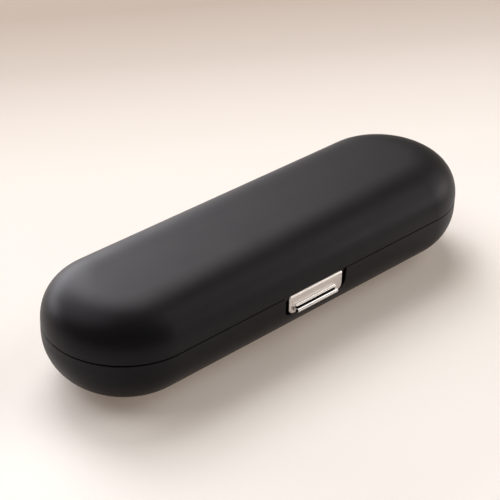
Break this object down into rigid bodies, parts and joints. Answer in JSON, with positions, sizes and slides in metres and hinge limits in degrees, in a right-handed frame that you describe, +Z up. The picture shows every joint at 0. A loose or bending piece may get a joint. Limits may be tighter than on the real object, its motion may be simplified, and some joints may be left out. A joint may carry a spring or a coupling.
{
  "type": "toothbrush travel case",
  "caption": "Capsule-shaped hinged travel case for an electric toothbrush, with a sprung metal latch flap and a fitted inner tray.",
  "frame": {"origin": "middle of the flat underside, where the case rests", "axes": "+X along the case, +Y towards the hinge, -Y towards the latch, +Z up through the lid"},
  "size_m": [0.22, 0.0728, 0.0452],
  "materials": {
    "soft_touch_plastic": "black soft-touch coating on moulded plastic",
    "tray_plastic": "fine matt texture",
    "liner_plastic": "matt thermoformed sheet",
    "pad_rubber": "matt silicone rubber",
    "pad_foam": "closed-cell foam",
    "satin_metal": "satin nickel plate",
    "polished_chrome": "polished chrome",
    "pin_steel": "drawn steel",
    "screw_steel": "zinc-plated steel",
    "spring_steel": "bright spring steel",
    "blackened_steel": "black-coated steel"
  },
  "bodies": {
    "base": {"base_shell": "soft_touch_plastic", "base_tray": "tray_plastic", "hinge_pin_left": "pin_steel", "hinge_pin_right": "pin_steel", "cradle_pad_left": "pad_rubber", "cradle_pad_right": "pad_rubber", "catch_clip": "spring_steel", "catch_screw_left": "screw_steel", "catch_screw_right": "screw_steel", "tray_screw_left": "screw_steel", "tray_screw_right": "screw_steel", "tray_screw_front": "screw_steel"},
    "lid": {"lid_shell": "soft_touch_plastic", "lid_liner": "liner_plastic", "hold_down_pad_left": "pad_foam", "hold_down_pad_right": "pad_foam", "latch_bracket": "blackened_steel", "bracket_screw_left": "screw_steel", "bracket_screw_right": "screw_steel", "latch_pin": "pin_steel", "latch_spring": "spring_steel"},
    "flap": {"latch_plate": "satin_metal", "finger_lip": "polished_chrome", "lip_rivet_left": "pin_steel", "lip_rivet_right": "pin_steel"}
  },
  "joints": [
    {"name": "lid_hinge", "type": "hinge", "parent": "base", "child": "lid", "pos_m": [0, 0.0349, 0.0259], "axis": [-1, 0, 0], "range_deg": [0, 115], "deforming": ["catch_clip"]},
    {"name": "latch_flap_hinge", "type": "hinge", "parent": "lid", "child": "flap", "pos_m": [0, -0.0318, 0.0242], "axis": [-1, 0, 0], "range_deg": [0, 30], "stiffness_Nm_per_rad": 0.02, "springref_deg": -11.46, "deforming": ["latch_spring"]}
  ]
}
